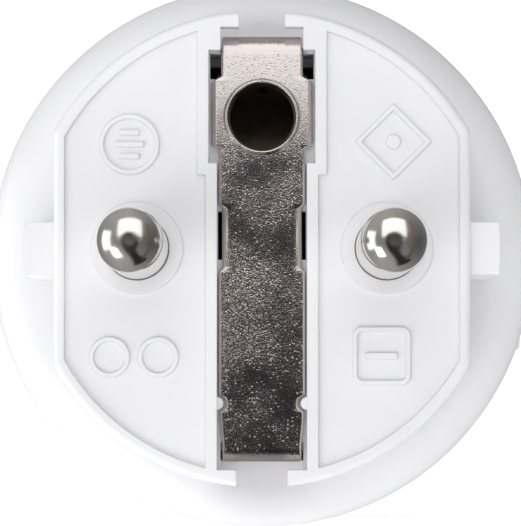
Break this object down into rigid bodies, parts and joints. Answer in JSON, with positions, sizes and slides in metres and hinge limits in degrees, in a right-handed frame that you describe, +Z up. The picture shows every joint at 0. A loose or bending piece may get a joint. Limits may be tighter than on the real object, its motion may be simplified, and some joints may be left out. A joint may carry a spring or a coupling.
{
  "type": "plug-in power meter",
  "caption": "Compact round plug-in power meter with a flatted two-pin earthed plug at one end, a recessed shuttered outlet at the other, and a side button with a light guide.",
  "frame": {"origin": "midway between the two plug pins, on the plug's engagement face", "axes": "+Y runs from the plug face through the housing to the outlet, so the pins point along -Y; +Z is up, the side of the earth-pin socket; +X is to the right seen from the plug side"},
  "size_m": [0.0444, 0.07, 0.0444],
  "materials": {
    "white_shell": "satin moulded, faint spark texture",
    "white_button": "satin moulded",
    "clear_lens": "translucent moulded",
    "nickel_pin": "nickel-plated, turned",
    "nickel_sheet": "nickel-plated pressed sheet",
    "steel_rivet": "nickel-plated",
    "spring_sheet": "spring steel, nickel-plated",
    "spring_brass": "rolled phosphor bronze",
    "grey_moulding": "moulded",
    "spring_wire": "drawn wire",
    "board_green": "solder mask",
    "board_black": "solder mask",
    "black_case": "moulded epoxy",
    "shunt_alloy": "rolled resistance alloy",
    "fuse_body": "dipped",
    "varistor_coat": "dipped epoxy",
    "capacitor_case": "moulded box",
    "sleeve_film": "shrunk film sleeve",
    "ferrite": "pressed ferrite",
    "copper_wire": "enamelled copper",
    "link_pin_gold": "plated",
    "tin_can": "tinned sheet",
    "switch_stem": "moulded",
    "lamp_case": "moulded"
  },
  "bodies": {
    "meter": {"rear_housing": "white_shell", "outlet_housing": "white_shell", "outlet_floor": "white_shell", "light_guide": "clear_lens", "line_pin": "nickel_pin", "neutral_pin": "nickel_pin", "earth_strap": "nickel_sheet", "earth_sleeve": "nickel_sheet", "earth_rivets": "steel_rivet", "upper_earth_clip": "spring_sheet", "lower_earth_clip": "spring_sheet", "line_contact": "spring_brass", "neutral_contact": "spring_brass", "shutter_carrier": "grey_moulding", "shutter_spring": "spring_wire", "power_board": "board_green", "control_board": "board_green", "relay": "black_case", "shunt": "shunt_alloy", "fuse": "fuse_body", "varistor": "varistor_coat", "filter_capacitor": "capacitor_case", "bridge_rectifier": "black_case", "bulk_capacitor": "sleeve_film", "output_capacitor": "sleeve_film", "choke": "ferrite", "choke_winding": "copper_wire", "converter_chip": "black_case", "board_link_pins": "link_pin_gold", "metering_chip": "black_case", "radio_module": "board_black", "radio_shield": "tin_can", "switch_body": "black_case", "status_lamp": "lamp_case"},
    "button": {"button": "white_button", "switch_plunger": "switch_stem"},
    "shutter": {"shutter": "grey_moulding"}
  },
  "joints": [
    {"name": "button_press", "type": "slide", "parent": "meter", "child": "button", "axis": [-1, 0, 0], "range_m": [0, 0.0005], "stiffness_N_per_m": 1200, "springref_m": -0.0004},
    {"name": "shutter_slide", "type": "slide", "parent": "meter", "child": "shutter", "axis": [0, 0, 1], "range_m": [0, 0.0062], "stiffness_N_per_m": 150, "springref_m": -0.003, "deforming": ["shutter_spring"]}
  ]
}
